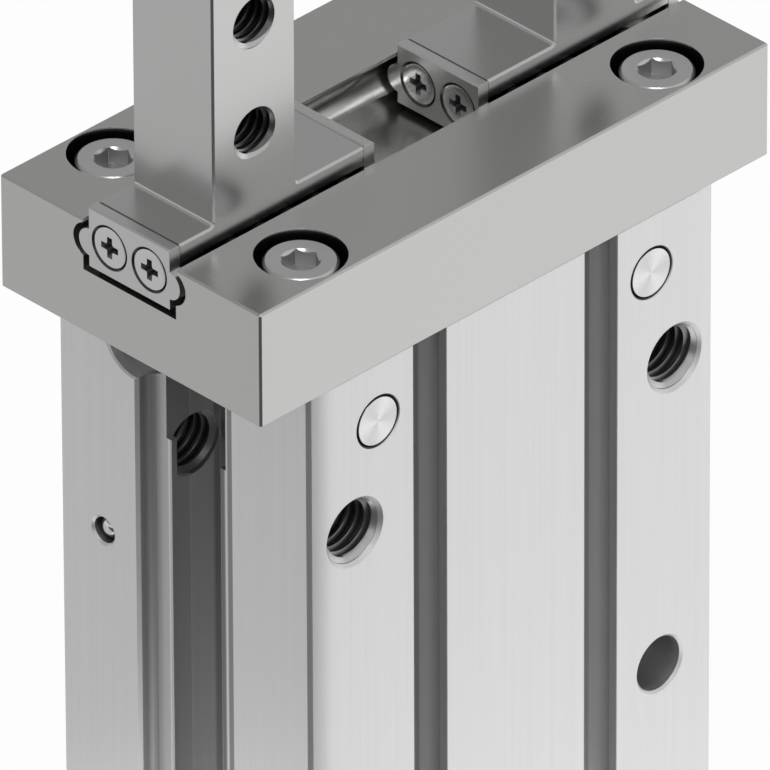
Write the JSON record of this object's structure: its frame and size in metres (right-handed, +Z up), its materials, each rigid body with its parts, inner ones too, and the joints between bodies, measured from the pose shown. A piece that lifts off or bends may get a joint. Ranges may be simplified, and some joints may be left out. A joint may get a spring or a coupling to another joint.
{
  "type": "pneumatic parallel gripper",
  "caption": "Double acting air gripper: a piston in an aluminium body drives cranked levers that slide steel jaws apart and together on a guide block.",
  "frame": {"origin": "centre of the body's bottom face, under the middle of the guide block", "axes": "+X along the jaws' travel, +Z up towards the fingers, -Y out of the front wide face; the air ports are on the narrow face at +X"},
  "size_m": [0.05, 0.0258, 0.0848],
  "materials": {
    "body_anodised": "fine-blasted and clear anodised, satin",
    "guide_steel": "ground steel, satin",
    "jaw_steel": "ground steel, satin",
    "plate_steel": "pressed stainless steel",
    "cross_screw_steel": "stainless steel, bright",
    "socket_screw_steel": "stainless steel, bright",
    "pin_steel": "turned and ground steel",
    "lever_steel": "hardened steel, satin",
    "ball_steel": "polished bearing steel",
    "rod_steel": "ground stainless steel",
    "nut_steel": "zinc plated steel",
    "piston_aluminium": "turned aluminium",
    "cap_aluminium": "turned and clear anodised aluminium",
    "ring_steel": "phosphated spring steel",
    "seal_rubber": "nitrile rubber, matt black",
    "bumper_urethane": "urethane rubber, amber",
    "wear_plastic": "filled plastic, matt",
    "magnet_compound": "bonded ferrite, matt dark grey",
    "bush_bronze": "sintered bronze"
  },
  "bodies": {
    "housing": {"body": "body_anodised", "guide_rail": "guide_steel", "guide_screws": "socket_screw_steel", "guide_dowels": "pin_steel", "lever_pin_left": "pin_steel", "lever_pin_right": "pin_steel", "rod_bush": "bush_bronze", "rod_seal": "seal_rubber", "seal_washer": "rod_steel", "end_cap": "cap_aluminium", "end_cap_seal": "seal_rubber", "end_cap_bumper": "bumper_urethane", "retaining_ring": "ring_steel", "passage_ball": "ball_steel"},
    "jaw_left": {"jaw_left": "jaw_steel", "jaw_left_outer_plate": "plate_steel", "jaw_left_inner_plate": "plate_steel", "jaw_left_plate_screws": "cross_screw_steel"},
    "jaw_right": {"jaw_right": "jaw_steel", "jaw_right_outer_plate": "plate_steel", "jaw_right_inner_plate": "plate_steel", "jaw_right_plate_screws": "cross_screw_steel"},
    "ball_rows_left": {"ball_rows_left": "ball_steel"},
    "ball_rows_right": {"ball_rows_right": "ball_steel"},
    "lever_left": {"lever_left": "lever_steel"},
    "lever_right": {"lever_right": "lever_steel"},
    "piston": {"piston_rod": "rod_steel", "rod_cross_pin": "pin_steel", "piston": "piston_aluminium", "piston_nut": "nut_steel", "piston_wear_ring": "wear_plastic", "piston_magnet": "magnet_compound", "piston_seal": "seal_rubber", "piston_bumper": "bumper_urethane"}
  },
  "joints": [
    {"name": "jaw_left_slide", "type": "slide", "parent": "housing", "child": "jaw_left", "axis": [1, 0, 0], "range_m": [0, 0.005]},
    {"name": "jaw_right_slide", "type": "slide", "parent": "housing", "child": "jaw_right", "axis": [-1, 0, 0], "range_m": [0, 0.005]},
    {"name": "ball_rows_left_roll", "type": "slide", "parent": "housing", "child": "ball_rows_left", "axis": [1, 0, 0], "range_m": [0, 0.0025]},
    {"name": "ball_rows_right_roll", "type": "slide", "parent": "housing", "child": "ball_rows_right", "axis": [-1, 0, 0], "range_m": [0, 0.0025]},
    {"name": "lever_left_pivot", "type": "hinge", "parent": "housing", "child": "lever_left", "pos_m": [-0.0135, 0, 0.0481], "axis": [0, 1, 0], "range_deg": [0, 24.26]},
    {"name": "lever_right_pivot", "type": "hinge", "parent": "housing", "child": "lever_right", "pos_m": [0.0135, 0, 0.0481], "axis": [0, -1, 0], "range_deg": [0, 24.26]},
    {"name": "piston_slide", "type": "slide", "parent": "housing", "child": "piston", "axis": [0, 0, -1], "range_m": [0, 0.0058]}
  ],
  "couplings": [
    {"joint": "jaw_right_slide", "follows": "jaw_left_slide", "ratio": 1},
    {"joint": "ball_rows_left_roll", "follows": "jaw_left_slide", "ratio": 0.5},
    {"joint": "ball_rows_right_roll", "follows": "jaw_left_slide", "ratio": 0.5},
    {"joint": "lever_left_pivot", "follows": "jaw_left_slide", "rad_per_m": 84.664},
    {"joint": "lever_right_pivot", "follows": "jaw_left_slide", "rad_per_m": 84.664},
    {"joint": "piston_slide", "follows": "jaw_left_slide", "ratio": 1.1603}
  ]
}
